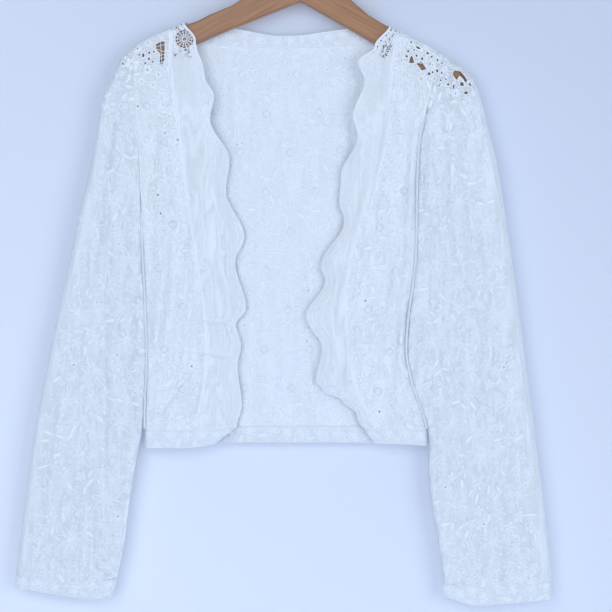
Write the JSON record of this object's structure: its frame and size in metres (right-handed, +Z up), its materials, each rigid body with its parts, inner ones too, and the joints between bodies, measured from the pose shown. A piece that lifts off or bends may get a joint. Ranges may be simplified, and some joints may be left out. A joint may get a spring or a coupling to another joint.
{
  "type": "lace bolero shrug on a wooden hanger",
  "caption": "White lace bolero shrug with long sleeves and scalloped open front, hung on a shaped wooden hanger with a steel hook.",
  "frame": {"origin": "inner top of the hanger's hook, where it rests on a rail", "axes": "+Z up, the garment's front faces -Y, +X to the viewer's right when seen from the front"},
  "size_m": [0.647, 0.0219, 0.8344],
  "materials": {
    "lace": "flowered lace",
    "net": "sheer net edging",
    "band": "doubled lace",
    "wood": "satin varnish",
    "steel": "bright"
  },
  "bodies": {
    "root": {"hanger_wood": "wood", "hanger_hook": "steel", "back_panel": "lace", "neckband": "band", "front_left": "lace", "front_right": "lace", "edging_left": "net", "edging_right": "net", "sleeve_left_front": "lace", "sleeve_left_back": "lace", "sleeve_right_front": "lace", "sleeve_right_back": "lace", "hem_back": "band", "hem_left": "band", "hem_right": "band", "cuff_left": "band", "cuff_right": "band"}
  },
  "joints": []
}
